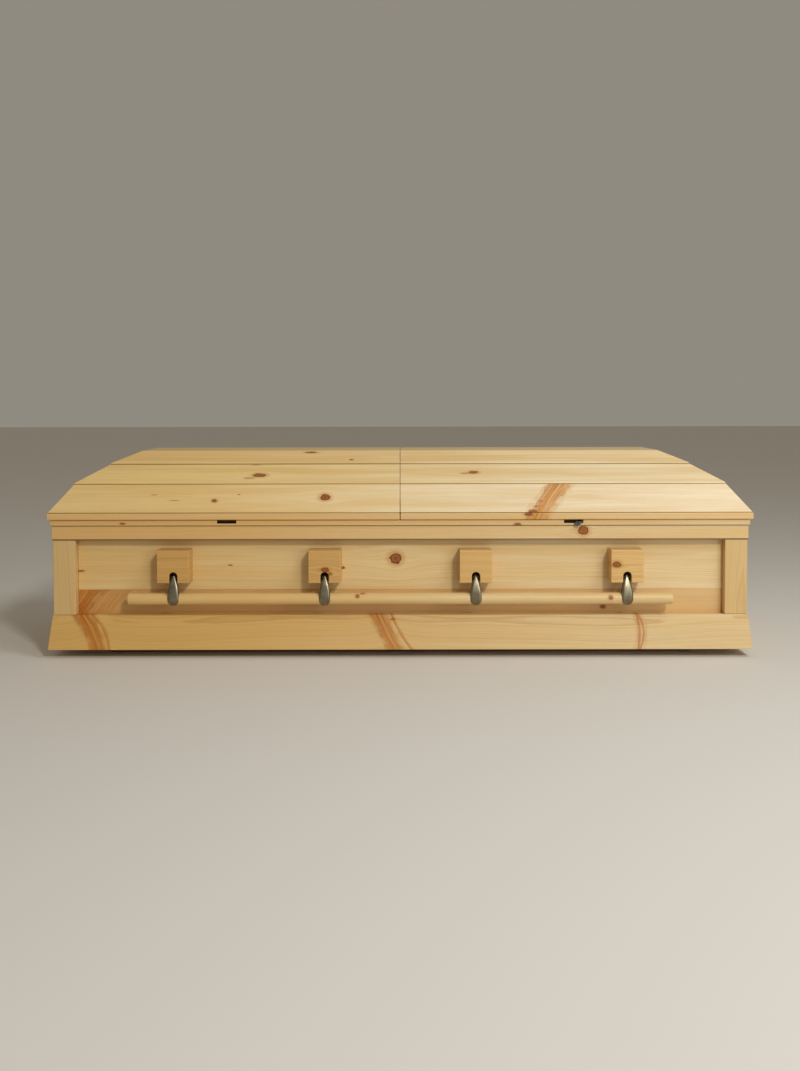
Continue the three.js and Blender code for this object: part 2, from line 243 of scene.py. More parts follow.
def new_material(name):
    """A material and the inputs of its shader. Its node tree is opened."""
    material = bpy.data.materials.new(name)
    material.use_nodes = True
    Desk.tree = material.node_tree
    return material, Desk.tree.nodes["Principled BSDF"].inputs


def roughen(shader, strength, distance, relief):
    """Feeds a height to the shader as a bump."""
    bump = add_node("Bump", {"Strength": strength, "Distance": distance, "Height": relief})
    feed(shader["Normal"], bump.outputs["Normal"])


def new_group(name, vectors, floats, new_vectors, new_floats):
    """Opens an empty node group with named sockets. Returns what flows in and what has to be fed."""
    Desk.tree = bpy.data.node_groups.new(name, "ShaderNodeTree")
    for way, kind, titles in (("INPUT", "Vector", vectors), ("INPUT", "Float", floats),
                              ("OUTPUT", "Vector", new_vectors), ("OUTPUT", "Float", new_floats)):
        for title in titles:
            Desk.tree.interface.new_socket(title, in_out=way, socket_type="NodeSocket" + kind)
    return Desk.tree.nodes.new("NodeGroupInput").outputs, Desk.tree.nodes.new("NodeGroupOutput").inputs


def hand_over(made, values):
    """Feeds what a group gives and returns the group."""
    for name, value in values.items():
        feed(made[name], value)
    print(f"{Desk.tree.name}: {len(Desk.tree.nodes)} nodes")
    return Desk.tree


def hand_stronger(given, made, masks):
    """Feeds masks, each joined with the one that came in from the group before."""
    return hand_over(made, {name: calc("MAXIMUM", mask, given[name]) for name, mask in masks.items()})


def use_group(group, values):
    return add_node("Group", values, node_tree=group).outputs


def chained(group, state, values):
    """Feeds a group with the state of a chain and with values of its own. Returns the chain's new state."""
    given = use_group(group, {**state, **values})
    return {name: given[name] for name in state}


def colour(code):
    """A colour as a painter writes it, such as "E2C48A", in the linear light that Blender mixes in."""
    channels = [int(code[i:i + 2], 16) / 255 for i in (0, 2, 4)]
    return (*[c / 12.92 if c < 0.04045 else ((c + 0.055) / 1.055) ** 2.4 for c in channels], 1)


print("helpers for node graphs are ready")

# %% [markdown]
# ## Wood, in the board's own measure
#
# Grain follows the board, wherever the board ends up, so the wood is drawn in the board's own measure:
# metres along it, across it from its lower edge, and below its face. Every board carries that as an
# attribute named `board`. A tree's growth rings are cylinders round its pith. A board cuts them at a slant,
# which draws long pointed arches on its face and arcs on its end. The first group works those rings out: in
# each, pale spring wood darkens slowly to summer wood and ends at once.

# %% Growth rings
SEED_STRIDE = 7.3
DRIFT, DRIFT_STRETCH = -0.09, (0.9, 3.1, 1)
RISE, RISE_STRETCH, RISE_LAYER = 0.035, (1.2, 5.7, 1), 5.0
WAVER, WAVER_STRETCH = 0.8, (7, 55, 55)
SUMMER, WINTER = (0.25, 0.9), (1.0, 0.92)
GOOD_YEARS, YEAR_STRETCH = (0.3, 0.68), (0.45, 3.0, 1)


def make_growth_rings():
    given, made = new_group(
        "Growth rings", ["Place"], ["Seed", "Pith across", "Pith depth", "Spacing"], [], ["Latewood"])
    along, across, depth = parts_of(given["Place"])
    shifted = scaled(given["Seed"], SEED_STRIDE, along)
    drift = noise(vector(shifted, given["Seed"]), DRIFT_STRETCH, detail=1)
    rise = noise(vector(shifted, given["Seed"], RISE_LAYER), RISE_STRETCH, detail=1)
    side = swayed(minus(across, given["Pith across"]), drift, DRIFT)
    down = swayed(plus(depth, given["Pith depth"]), rise, RISE)
    reach = calc("SQRT", plus(calc("POWER", side, 2), calc("POWER", down, 2)))
    waver = noise(given["Place"], WAVER_STRETCH, detail=2)
    rings = scaled(waver, WAVER, calc("DIVIDE", reach, given["Spacing"]))
    rings = plus(rings, given["Seed"])
    part = calc("FRACT", rings)
    line = times(fade(part, *SUMMER), fade(part, *WINTER))
    year = noise(vector(rings, given["Seed"]), YEAR_STRETCH, detail=1)
    return hand_over(made, {"Latewood": times(line, fade(year, *GOOD_YEARS))})


GROWTH_RINGS = make_growth_rings()

# %% [markdown]
# A knot is the foot of a branch. The grain flows round it as water round a stone, so this group bends the
# place that later nodes read, and gives masks for the knot's heart, the dark bark ring at its edge and the
# resin-warm wood about it. Groups are chained, one for each knot, and each passes the bent place on.

# %% A knot
WOBBLE, WOBBLE_STRETCH = 0.7, (55, 110, 0)
BEND_SPREAD = (0.05, 0.12)
BEND_PULL = -0.82
KNOT_RINGS, KNOT_RING_TONE = 17.0, 0.07
HEART_EDGE, WARM_EDGE = (1.12, 0.88), (2.1, 1.0)
BARK_AT, BARK_EDGE = 0.86, (0.2, 0.03)
EYE_EDGE, EYE_SHARE = (0.5, 0.1), 0.6


def make_knot():
    masks = ["Heart", "Bark", "Warmth"]
    given, made = new_group(
        "Knot", ["Board", "Place", "Centre"], ["Half length", "Half height", "Darkness", *masks],
        ["Place"], masks)
    wobble = noise(given["Board"], WOBBLE_STRETCH, detail=2)
    from_centre = vector_calc("SUBTRACT", given["Board"], given["Centre"])
    along, across, _ = parts_of(from_centre)
    wide = calc("ABSOLUTE", calc("DIVIDE", along, given["Half length"]))
    high = calc("ABSOLUTE", calc("DIVIDE", across, given["Half height"]))
    wide_squared, high_squared = calc("POWER", wide, 2), calc("POWER", high, 2)
    reach = swayed(calc("SQRT", plus(wide_squared, high_squared)), wobble, WOBBLE)
    spread = plus(times(wide_squared, BEND_SPREAD[0]), times(high_squared, BEND_SPREAD[1]))
    near = calc("EXPONENT", times(spread, -1.0))
    pull = times(times(across, near), BEND_PULL)
    bent = vector_calc("ADD", given["Place"], vector(0.0, pull))
    rings = calc("SINE", times(reach, KNOT_RINGS))
    rings = scaled(rings, KNOT_RING_TONE, 1.0 - KNOT_RING_TONE)
    heart = times(times(fade(reach, *HEART_EDGE), rings), given["Darkness"])
    edge = calc("ABSOLUTE", minus(reach, BARK_AT))
    eye = times(fade(reach, *EYE_EDGE), EYE_SHARE)
    bark = times(calc("MAXIMUM", fade(edge, *BARK_EDGE), eye), given["Darkness"])
    warmth = times(fade(reach, *WARM_EDGE), given["Darkness"])
    feed(made["Place"], bent)
    return hand_stronger(given, made, {"Heart": heart, "Bark": bark, "Warmth": warmth})


KNOT = make_knot()

# %% [markdown]
# Some boards cross the tree's red heartwood or an old scar, and show it as a slanting orange band with fine
# dark lines in it, and the grain beside it dips towards it. The band runs through two points of the board
# and bows to one side between them.

# %% A band of heartwood
RAGGED, RAGGED_STRETCH = 0.8, (30, 60, 1)
TONE_STRETCH, TONE_EDGE = (6, 60, 1), (0.3, 0.62)
BAND_EDGE = (0.95, 0.15)
VEIN_STRETCH, VEIN_EDGE, VEIN_REACH = (7, 170, 1), (0.5, 0.64), (0.9, 0.3)
RIM_AT, RIM_EDGE, RIM_SHARE = 0.5, (0.14, 0.02), 0.8
PATCH_STRETCH, PATCH_EDGE = (22, 22, 1), (0.42, 0.6)
DIP_FADE = -17.0


def make_heart_band():
    masks = ["Band", "Lines"]
    given, made = new_group(
        "Heartwood band", ["Board", "Place", "From", "To"], ["Bow", "Width", "Depth", "Dip", *masks],
        ["Place"], masks)
    axis = vector_calc("SUBTRACT", given["To"], given["From"])
    offset = vector_calc("SUBTRACT", given["Board"], given["From"])
    dot = add_node("VectorMath", (offset, axis), operation="DOT_PRODUCT").outputs["Value"]
    length = add_node("VectorMath", (axis,), operation="LENGTH").outputs["Value"]
    share = calc("DIVIDE", dot, calc("POWER", length, 2))
    cross = parts_of(vector_calc("CROSS_PRODUCT", axis, offset))[2]
    signed = calc("DIVIDE", cross, length)
    held = add_node("Clamp", (share,)).outputs[0]
    bend = times(times(held, minus(1.0, held)), 4.0)
    signed = minus(signed, times(bend, given["Bow"]))
    flow = vector(times(share, length), signed)
    widths = calc("DIVIDE", calc("ABSOLUTE", signed), given["Width"])
    widths = swayed(widths, noise(flow, RAGGED_STRETCH, detail=4), RAGGED)
    tone = fade(noise(flow, TONE_STRETCH, detail=3), *TONE_EDGE)
    tone = scaled(tone, 0.5, 0.5)
    band = times(times(fade(widths, *BAND_EDGE), tone), given["Depth"])
    veins = fade(noise(flow, VEIN_STRETCH, detail=4), *VEIN_EDGE)
    veins = times(veins, fade(widths, *VEIN_REACH))
    rim = fade(calc("ABSOLUTE", minus(widths, RIM_AT)), *RIM_EDGE)
    rim = times(rim, fade(noise(flow, PATCH_STRETCH, detail=2), *PATCH_EDGE))
    veins = calc("MAXIMUM", veins, times(rim, RIM_SHARE))
    veins = times(veins, given["Depth"])
    near = calc("EXPONENT", times(calc("ABSOLUTE", signed), DIP_FADE))
    dip = vector(0.0, times(near, given["Dip"]))
    bent = vector_calc("ADD", given["Place"], dip)
    feed(made["Place"], bent)
    return hand_stronger(given, made, {"Band": band, "Lines": veins})


HEART_BAND = make_heart_band()

# %% [markdown]
# Up close, pine shows its fibres: fine pale and dark hairs along the grain. The same group gives the slow
# drift of tone along every board.

# %% Fibre and drift
COARSE, COARSE_STRETCH = 0.6, (6, 170, 170)
FINE, FINE_STRETCH = 0.4, (22, 900, 900)
HAIR_EDGE = (0.36, 0.64)
SLOW_STRETCH, SLOW_EDGE = (1.2, 26, 26), (0.36, 0.66)


def make_fibre():
    given, made = new_group("Fibre", ["Place"], ["Seed"], [], ["Hairs", "Drift"])
    moved = vector_calc("ADD", given["Place"], vector(given["Seed"], given["Seed"]))
    coarse = noise(moved, COARSE_STRETCH, detail=3)
    fine = noise(moved, FINE_STRETCH, detail=2)
    hairs = plus(times(coarse, COARSE), times(fine, FINE))
    slow = noise(moved, SLOW_STRETCH, detail=4)
    return hand_over(made, {"Hairs": fade(hairs, *HAIR_EDGE), "Drift": fade(slow, *SLOW_EDGE)})


FIBRE = make_fibre()

# %% [markdown]
# ## The lacquered pine
#
# One recipe makes the wood of every board. It lays knots and heartwood bands where it is told, bends the
# grain round them, draws rings and hairs, and tints all of it. The plain boards take their knots from a
# Voronoi pattern instead, which scatters one possible knot in each cell of a wide grid. The lacquer is a
# thin coat of even gloss over wood that is a little rougher in its pale lines.

# %% The pine recipe
# The plain tone at the left end and at the right, paler at the right as painted sheen.
SAPWOOD = ("DFBE80", "E6CB98")
LATEWOOD = "C2924C"
AMBER = "D9AC62"
HEARTWOOD = "B86C16"
KNOT_HEART = "93510C"
KNOT_BARK = "401A00"
PAINTED_SHADE = "2E1A08"
LIP_PAINTED_SHADE = "4A2C06"
PAINTED_SHEEN_FROM, PAINTED_SHEEN_TO = -0.8, 0.8
ON_FACE = (1, 1, 0)
KNOT_CELL = (2.1, 5.5, 0)
KNOT_CHANCE = (0.6, 0.62)
KNOT_GROWTH, SMALL_KNOT, KNOT_FLATNESS = 14 * MM, 4 * MM, 0.75
SCATTER_STRIDE, SCATTER_SPREAD = 3.7, 0.9
KNOT_DARKNESS, FAINTEST_KNOT, LATE_SMOOTHER = 0.4, 0.5, -0.1
HAIR_TONE, WARM_TONE, BAND_TONE, LINE_TONE, BARK_TONE = 0.16, 0.45, 0.95, 0.55, 0.62
SEAM_TONE, SEAM_FADE, POCKET_TONE = 0.75, 1.4, 0.95
COAT, COAT_ROUGHNESS, SHINE, WOOD_ROUGHNESS = 0.15, 0.3, 0.35, 0.5
RING_RELIEF, HAIR_RELIEF, WOOD_BUMP, WOOD_RELIEF = 0.5, 0.3, 0.35, 0.3 * MM


def on_board(along, up):
    """A place on a board's face, from millimetres along it and up from its lower edge."""
    return (along * MM, up * MM, 0)


def scatter_knots(board, seed, chain):
    """One knot in some cells of a wide grid, chained like any other knot."""
    moved = vector_calc("ADD", board, vector(times(seed, SCATTER_STRIDE), seed))
    flat = vector_calc("MULTIPLY", moved, KNOT_CELL)
    cells = add_node("TexVoronoi", {"Vector": flat, "Scale": 1.0, "Randomness": SCATTER_SPREAD},
                     voronoi_dimensions="2D")
    centre = vector_calc("DIVIDE", cells.outputs["Position"], (KNOT_CELL[0], KNOT_CELL[1], 1))
    chance, size, tone = add_node("SeparateColor", (cells.outputs["Color"],)).outputs
    present = fade(chance, *KNOT_CHANCE)
    half = scaled(times(size, present), KNOT_GROWTH, SMALL_KNOT)
    return chained(KNOT, chain, {
        "Board": vector_calc("MULTIPLY", moved, ON_FACE), "Centre": centre,
        "Half length": half, "Half height": times(half, KNOT_FLATNESS),
        "Darkness": times(present, scaled(tone, KNOT_DARKNESS, FAINTEST_KNOT)),
    })


def painted_lip_shade(board, height):
    """Painted shade on the lip along a board's lower edge, from `height` downwards, where a lap, a joint or
    a rounded edge lies in shade.
    """
    return fade(parts_of(board)[1], height * MM, (height - SEAM_FADE) * MM)


def painted_pocket_shade(board, middle, half_width, top, clear, dark):
    """Painted shade in a notch or slot round `middle`, up to `top`, from `clear` to `dark` below the face.
    """
    along, up, depth = parts_of(board)
    aside = calc("ABSOLUTE", minus(along, middle * MM))
    within = fade(aside, (half_width + 1) * MM, half_width * MM)
    within = times(within, fade(up, (top + 1) * MM, top * MM))
    return times(within, fade(depth, clear * MM, dark * MM))


def pine(name, sapwood=SAPWOOD, knots=(), bands=(), scattered=False, grain=0.35, spacing=5, pith=(150, 25),
         amber=0.45, late_tone=LATEWOOD, band_tone=HEARTWOOD, seam=None, pockets=()):
    """Lacquered pine. `knots` are (along, up, half length, half height, darkness), `bands` are (from along,
    from up, to along, to up, bow, width, depth, dip), `pith` is (across, below), `seam` is the height of a
    lip of painted shade and `pockets` are notches or slots of painted shade (middle, half width, top, clear,
    dark), all in millimetres on the board. `sapwood` is the tone at the left end and at the right; a paler
    right tone is painted sheen."""
    material, shader = new_material(name)
    board = add_node("Attribute", attribute_name="board").outputs["Vector"]
    seed = add_node("Attribute", attribute_name="seed").outputs["Fac"]
    flat = vector_calc("MULTIPLY", board, ON_FACE)
    chain = {"Place": board, "Heart": 0.0, "Bark": 0.0, "Warmth": 0.0}
    for along, up, half_length, half_height, darkness in knots:
        chain = chained(KNOT, chain, {
            "Board": flat, "Centre": on_board(along, up), "Half length": half_length * MM,
            "Half height": half_height * MM, "Darkness": darkness,
        })
    if scattered:
        chain = scatter_knots(board, seed, chain)
    streak = {"Place": chain["Place"], "Band": 0.0, "Lines": 0.0}
    for along, up, end_along, end_up, bow, width, depth, dip in bands:
        streak = chained(HEART_BAND, streak, {
            "Board": flat, "From": on_board(along, up), "To": on_board(end_along, end_up),
            "Bow": bow * MM, "Width": width * MM, "Depth": depth, "Dip": dip * MM,
        })
    place = streak["Place"]
    late = use_group(GROWTH_RINGS, {
        "Place": place, "Seed": seed, "Pith across": pith[0] * MM, "Pith depth": pith[1] * MM,
        "Spacing": spacing * MM,
    })["Latewood"]
    fibre = use_group(FIBRE, {"Place": place, "Seed": seed})
    # The tone goes from the left one to the right one; a paler right tone is painted sheen from the
    # right-hand lamps.
    share = fade(parts_of(board)[0], PAINTED_SHEEN_FROM, PAINTED_SHEEN_TO)
    layers = [
        (fibre["Drift"], amber, AMBER),
        (late, grain, late_tone),
        (fibre["Hairs"], HAIR_TONE, LATEWOOD),
        (chain["Warmth"], WARM_TONE, HEARTWOOD),
        (streak["Band"], BAND_TONE, band_tone),
        (streak["Lines"], LINE_TONE, KNOT_HEART),
        (chain["Heart"], 1.0, KNOT_HEART),
        (chain["Bark"], BARK_TONE, KNOT_BARK),
    ]
    # A seam adds painted shade along the board's lower lip.
    if seam is not None:
        layers.append((painted_lip_shade(board, seam), SEAM_TONE, LIP_PAINTED_SHADE))
    # Notches and slots get painted shade, darker deeper below the face.
    layers += [(painted_pocket_shade(board, *pocket), POCKET_TONE, PAINTED_SHADE) for pocket in pockets]
    tint = stained(blend(share, colour(sapwood[0]), colour(sapwood[1])), layers)
    feed(shader["Base Color"], tint)
    feed(shader["Roughness"], scaled(late, LATE_SMOOTHER, WOOD_ROUGHNESS))
    shader["Specular IOR Level"].default_value = SHINE
    shader["Coat Weight"].default_value = COAT
    shader["Coat Roughness"].default_value = COAT_ROUGHNESS
    relief = plus(times(late, RING_RELIEF), times(fibre["Hairs"], HAIR_RELIEF))
    roughen(shader, WOOD_BUMP, WOOD_RELIEF, minus(relief, chain["Bark"]))
    return material


plain_pine = pine("pine_plain", scattered=True)
print(f"{plain_pine.name}: {len(plain_pine.node_tree.nodes)} nodes")

# %% [markdown]
# ## Boards
#
# A board is cut square and then eased: the sander takes a millimetre or two off every edge, and that thin
# rounded line catches the light. Each solid's copy is welded, its triangles are joined into whole faces, and
# a bevel rounds its edges. Weighted normals keep the broad faces flat beside them.

# %% Helpers for boards
WELD = 0.01 * MM
FACE_ANGLE = math.radians(1)
EDGE_ANGLE = math.radians(40)
SMOOTH_ANGLE = math.radians(38)
ROUGH_SEGMENTS, EDGE_SEGMENTS, ROUND_SEGMENTS = 2, 3, 4
ROUGH_EASE, SHOWN_EASE, FINE_EASE, PANEL_EASE = 1.5 * MM, 2.0 * MM, 1.2 * MM, 1.0 * MM
UPRIGHT, TURNED_TO_X, TURNED_TO_Y = (0, 0, 0), (0, math.pi / 2, 0), (math.pi / 2, 0, 0)


def work_on(piece):
    """Selects one piece alone, as a click on it does."""
    bpy.ops.object.select_all(action="DESELECT")
    piece.select_set(True)
    bpy.context.view_layer.objects.active = piece


@contextmanager
def edit_mode(piece, whole=False):
    """Edit Mode on one piece, as the Tab key enters and leaves it, with what is selected or with all."""
    work_on(piece)
    bpy.ops.object.mode_set(mode="EDIT")
    if whole:
        bpy.ops.mesh.select_all(action="SELECT")
    yield
    bpy.ops.object.mode_set(mode="OBJECT")


def pick(piece, kind, wanted):
    """Selects the edges or faces that `wanted` says yes to. `kind` is EDGE or FACE."""
    with edit_mode(piece):
        bpy.ops.mesh.select_mode(type=kind)
        bpy.ops.mesh.select_all(action="DESELECT")
    for element in piece.data.edges if kind == "EDGE" else piece.data.polygons:
        element.select = wanted(element)


def stock(node, name):
    """A copy of a node's solid as one clean closed board."""
    board = bpy.data.objects.new(name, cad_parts[node].data.copy())
    bpy.context.collection.objects.link(board)
    board.data.materials.clear()
    work_on(board)
    bpy.ops.mesh.customdata_custom_splitnormals_clear()
    with edit_mode(board, whole=True):
        bpy.ops.mesh.remove_doubles(threshold=WELD)
        bpy.ops.mesh.dissolve_limited(angle_limit=FACE_ANGLE)
    return board


def settled(name):
    """Names the shape that was just added and writes its place, turn and size into its mesh."""
    shape = bpy.context.object
    shape.name = name
    bpy.ops.object.transform_apply(location=True, rotation=True, scale=True)
    return shape


def cylinder(name, sides, radius, length, place, turn=UPRIGHT):
    bpy.ops.object.select_all(action="DESELECT")
    bpy.ops.mesh.primitive_cylinder_add(
        vertices=sides, radius=radius, depth=length, location=place, rotation=turn)
    return settled(name)


def cuboid(name, place, size):
    bpy.ops.object.select_all(action="DESELECT")
    bpy.ops.mesh.primitive_cube_add(size=1, location=place, scale=size)
    return settled(name)


def apply_modifier(piece, kind, **settings):
    """Adds a modifier, sets it and applies it at once."""
    work_on(piece)
    modifier = piece.modifiers.new(kind.title(), kind)
    for setting, value in settings.items():
        setattr(modifier, setting, value)
    bpy.ops.object.modifier_apply(modifier=modifier.name)


def join_or_carve(piece, other, operation):
    """Joins a second shape to a piece, or carves it out, and throws the second shape away."""
    apply_modifier(piece, "BOOLEAN", operation=operation, object=other, solver="EXACT")
    bpy.data.objects.remove(other)


def ease_edges(piece, radius, segments=EDGE_SEGMENTS, angle=EDGE_ANGLE):
    """Rounds the sharp edges and shades the piece so that its faces stay flat."""
    apply_modifier(piece, "BEVEL", width=radius, segments=segments, limit_method="ANGLE", angle_limit=angle)
    bpy.ops.object.shade_smooth_by_angle(angle=SMOOTH_ANGLE)
    apply_modifier(piece, "WEIGHTED_NORMAL", keep_sharp=True)


X, Y, Z = Vector((1, 0, 0)), Vector((0, 1, 0)), Vector((0, 0, 1))
ALONG = {"front": X, "right": Y, "back": -X, "left": -Y, "up": Z}
OUT = {"front": -Y, "right": X, "back": Y, "left": -X, "up": Z, "down": -Z}
SIDES = ("front", "right", "back", "left")
OUTWARDS = 0.2
FACE_SKIN = 1.5 * MM
SEED_STEP = 0.37
finished = []


def broad_face(piece, out):
    """The normal of the widest face that looks outwards: the board's face side."""
    facing = [face for face in piece.data.polygons if face.normal.dot(out) > OUTWARDS]
    return max(facing, key=lambda face: face.area).normal.normalized()


def measure(piece, out, along, skin=FACE_SKIN):
    """Writes each point's place: along the board, across it from its lower edge, and below its face."""
    across = out.cross(along)
    places = [(p.co.dot(along), p.co.dot(across), -p.co.dot(out)) for p in piece.data.vertices]
    top = min(depth for _, _, depth in places)
    foot = min(up for _, up, depth in places if depth < top + skin)
    flat = [number for a, up, depth in places for number in (a, up - foot, depth - top)]
    piece.data.attributes.new("board", "FLOAT_VECTOR", "POINT").data.foreach_set("vector", flat)
    seed = SEED_STEP * (len(finished) + 1)
    piece.data.attributes.new("seed", "FLOAT", "POINT").data.foreach_set("value", [seed] * len(places))


def finish_piece(piece, material, body, nodes):
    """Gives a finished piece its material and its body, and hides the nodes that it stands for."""
    piece.data.materials.clear()
    piece.data.materials.append(material)
    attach(piece, body)
    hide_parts(*nodes)
    finished.append(piece)


def finish_board(piece, node, side, material, grain=None, out=None):
    """Measures a board and finishes it. Its grain runs along its side, unless `grain` names another way."""
    measure(piece, broad_face(piece, OUT[out or side]), ALONG[grain or side])
    finish_piece(piece, material, "coffin", [node])


def add_board(node, side, material, ease=SHOWN_EASE, segments=EDGE_SEGMENTS, **ways):
    """Makes a board of a node's solid: cleaned, eased, measured and finished."""
    board = stock(node, node + "_wood")
    ease_edges(board, ease, segments)
    finish_board(board, node, side, material, **ways)


print("helpers for boards are ready")

# %% [markdown]
# ## The woods of the front
#
# Each board on the front shows marks of its own, given here as a joiner would chalk them: millimetres from
# the coffin's middle and up from the board's lower edge. The other boards share one plain pine, each with a
# seed that moves its pattern.

# %% Woods for the front boards
# Each pair is the tone at the left end and at the right; the right one is paler as painted sheen.
LOW_TONES = ("E6C688", "EEDEBE")
MIDDLE_TONES = ("EFCD88", "F2DDB4")
UPPER_TONES = ("EFC985", "F7DDAD")
RIM_TONES = ("DDB475", "E2C18D")
CAP_TONES = ("DAAF70", "DEC393")
LID_STREAK = "C98428"
BROWN_LATE = "A87430"
# Heights of painted shade on lower lips: under a lap, along a flush joint, and on the rail's rounded lower
# edge.
LAP_SEAM, FLUSH_SEAM, RAIL_SEAM = 0.2, 1.7, 4.5
# The cap's two finger notches are filled with painted shade.
NOTCHES = [(-526, 29, 99, 1, 4), (524, 29, 99, 1, 4)]

PLANK = {"grain": 0.24, "seam": LAP_SEAM}
FRONT_LOOKS = {
    "lid_left_low": dict(
        PLANK, sapwood=LOW_TONES, seam=FLUSH_SEAM, pith=(-30, 30),
        knots=[(-565, 43, 8, 6, 0.9), (-229, 55, 15, 11, 1.0), (-751, 65, 9, 2, 0.35),
               (-687, 44, 14, 1.5, 0.5), (-492, 66, 4, 1.5, 0.8)]),
    "lid_right_low": dict(
        PLANK, sapwood=LOW_TONES, grain=0.2, seam=FLUSH_SEAM, band_tone=LID_STREAK,
        knots=[(402, 3, 13, 6, 0.9), (412, 22, 8, 1.5, 0.9), (428, 40, 7, 1.5, 0.7)],
        bands=[(502, 118, 420, -12, -4, 50, 1.0, 5), (500, 118, 424, -12, -4, 26, 0.8, 0),
               (478, 118, 400, -12, -3, 9, 0.8, 0)]),
    "lid_left_middle": dict(
        PLANK, sapwood=MIDDLE_TONES,
        knots=[(-436, 42, 20, 10, 0.9), (-466, 27, 16, 6, 0.35), (-453, 99, 14, 2, 0.45)]),
    "lid_right_middle": dict(
        PLANK, sapwood=MIDDLE_TONES, knots=[(228, 57, 15, 7, 0.85), (206, 52, 16, 4, 0.4)]),
    "lid_left_upper": dict(
        PLANK, sapwood=UPPER_TONES, knots=[(-286, 75, 17, 6, 0.85), (-154, 22, 6, 4, 0.9)]),
    "lid_right_upper": dict(PLANK, sapwood=UPPER_TONES),
    "rim_left": dict(sapwood=RIM_TONES, grain=0.25),
    "rim_right": dict(
        sapwood=RIM_TONES, grain=0.25, band_tone=LID_STREAK,
        knots=[(388, 16, 12, 5, 1.0)], bands=[(424, 30, 406, -10, 0, 50, 0.9, 0)]),
    "cap": dict(
        sapwood=CAP_TONES, grain=0.3, seam=FLUSH_SEAM, pockets=NOTCHES,
        knots=[(-840, 7, 8, 3, 0.8), (355, 2, 10, 5, 0.9)]),
    "rail": dict(sapwood=CAP_TONES, grain=0.3, seam=RAIL_SEAM, knots=[(555, 28, 15, 14, 1.0)]),
    "panel_upper": dict(
        sapwood=("E1C083", "E5CD9D"), grain=0.45, spacing=6, pith=(-60, 20),
        knots=[(-14, 95, 18, 16, 1.0), (-175, 67, 5, 4, 1.0), (-520, 75, 6, 2, 0.8),
               (-979, 58, 12, 3, 0.8)]),
    "panel_lower": dict(
        sapwood=("D2A365", "DAB37B"), late_tone=BROWN_LATE, amber=0.5, knots=[(621, 89, 8, 6, 0.9)],
        bands=[(-1000, 60, -925, 170, 8, 70, 1.0, 0), (-1010, 60, -935, 170, 0, 45, 1.0, 0),
               (-940, 60, -860, 170, 4, 80, 0.45, 0)]),
    "base": dict(
        sapwood=("D5AA61", "DDC392"), late_tone=BROWN_LATE, grain=0.36, seam=LAP_SEAM, spacing=4.5,
        pith=(95, 26), knots=[(-24, 91, 7, 3, 0.7)],
        bands=[(-972, 112, -915, -8, 9, 40, 1.0, -34), (-960, 112, -902, -8, 14, 9, 1.0, 0),
               (-942, 112, -882, -8, 16, 8, 0.8, 0), (-72, 112, -12, -8, 0, 36, 0.9, -30),
               (-58, 112, 2, -8, 0, 8, 0.9, 0), (-28, 112, 42, -8, -6, 7, 0.8, 0),
               (716, 112, 720, -6, 8, 6.5, 1.0, 0), (718, 112, 723, -6, 18, 5.5, 1.0, 0),
               (718, 112, 721, -6, 12, 26, 0.35, 0)]),
}
front_woods = {kind: pine("pine_" + kind, **look) for kind, look in FRONT_LOOKS.items()}


def wood_for(kind, side):
    """The front's own wood for a kind of board, or plain pine on the other sides."""
    return front_woods[kind] if side == "front" else plain_pine


print(f"{len(front_woods)} woods for the front boards")

# %% [markdown]
# ## Underside, floor and base
#
# Two runners, painted dark as shade for the gap under the base, hold the coffin off the ground, and the
# floor board sits on them. The base is four boards that flare outwards, mitred at the corners. Each is its
# solid with eased edges.

# %% Make the underside and the base
# Painted shade: the runners are near black, so the floor under the base stays dark.
runner_painted_shade_pine = pine("pine_runner_painted_shade", sapwood=("4A3524", "4A3524"), amber=0.1, grain=0.2)
for node in ("runner_front", "runner_back"):
    add_board(node, "front", runner_painted_shade_pine, ROUGH_EASE, ROUGH_SEGMENTS, out="down")
add_board("floor_board", "front", plain_pine, ROUGH_EASE, ROUGH_SEGMENTS, out="up")
for side in SIDES:
    add_board(f"base_board_{side}", side, wood_for("base", side))
print(f"{len(finished)} boards so far")

# %% [markdown]
# ## Corner posts and panels
#
# The grain of a post stands upright, that of a panel lies. The panels are set 29 mm back from the posts, so
# the posts, the rail and the base frame them and throw their shadows on them.

# %% Make the posts and the panels
POST_TONES = ("DDBD84", "CFAF77")
post_pine = pine("pine_post", sapwood=POST_TONES, grain=0.42, spacing=3.5, pith=(20, 60), amber=0.2)

for end in ("left", "right"):
    for face in ("front", "back"):
        add_board(f"corner_post_{face}_{end}", face, post_pine, grain="up")
for side in ("front", "back"):
    for part in ("lower", "upper"):
        add_board(f"side_panel_{side}_{part}", side, wood_for(f"panel_{part}", side), PANEL_EASE)
for side in ("left", "right"):
    add_board(f"end_panel_{side}", side, plain_pine, PANEL_EASE)
print(f"{len(finished)} boards so far")

# %% [markdown]
# ## Mitred frames, sawn into their lengths
#
# The top rail, the cap and each lid rim are frames of moulding, one solid each. Here they become the lengths
# that they were glued from: the frame is copied once for each side, and bisected through its corners at 45
# degrees. A hair of air stays between two lengths, so the mitre shows.

# %% Saw the frames
MITRE_GAP = 0.15 * MM
rim_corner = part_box("lid_right_rim")[1]


def saw(piece, place, keep):
    """Cuts a piece by a plane and keeps what lies on the side that `keep` points to."""
    with edit_mode(piece, whole=True):
        bpy.ops.mesh.bisect(plane_co=place, plane_no=keep, use_fill=True, clear_inner=True)


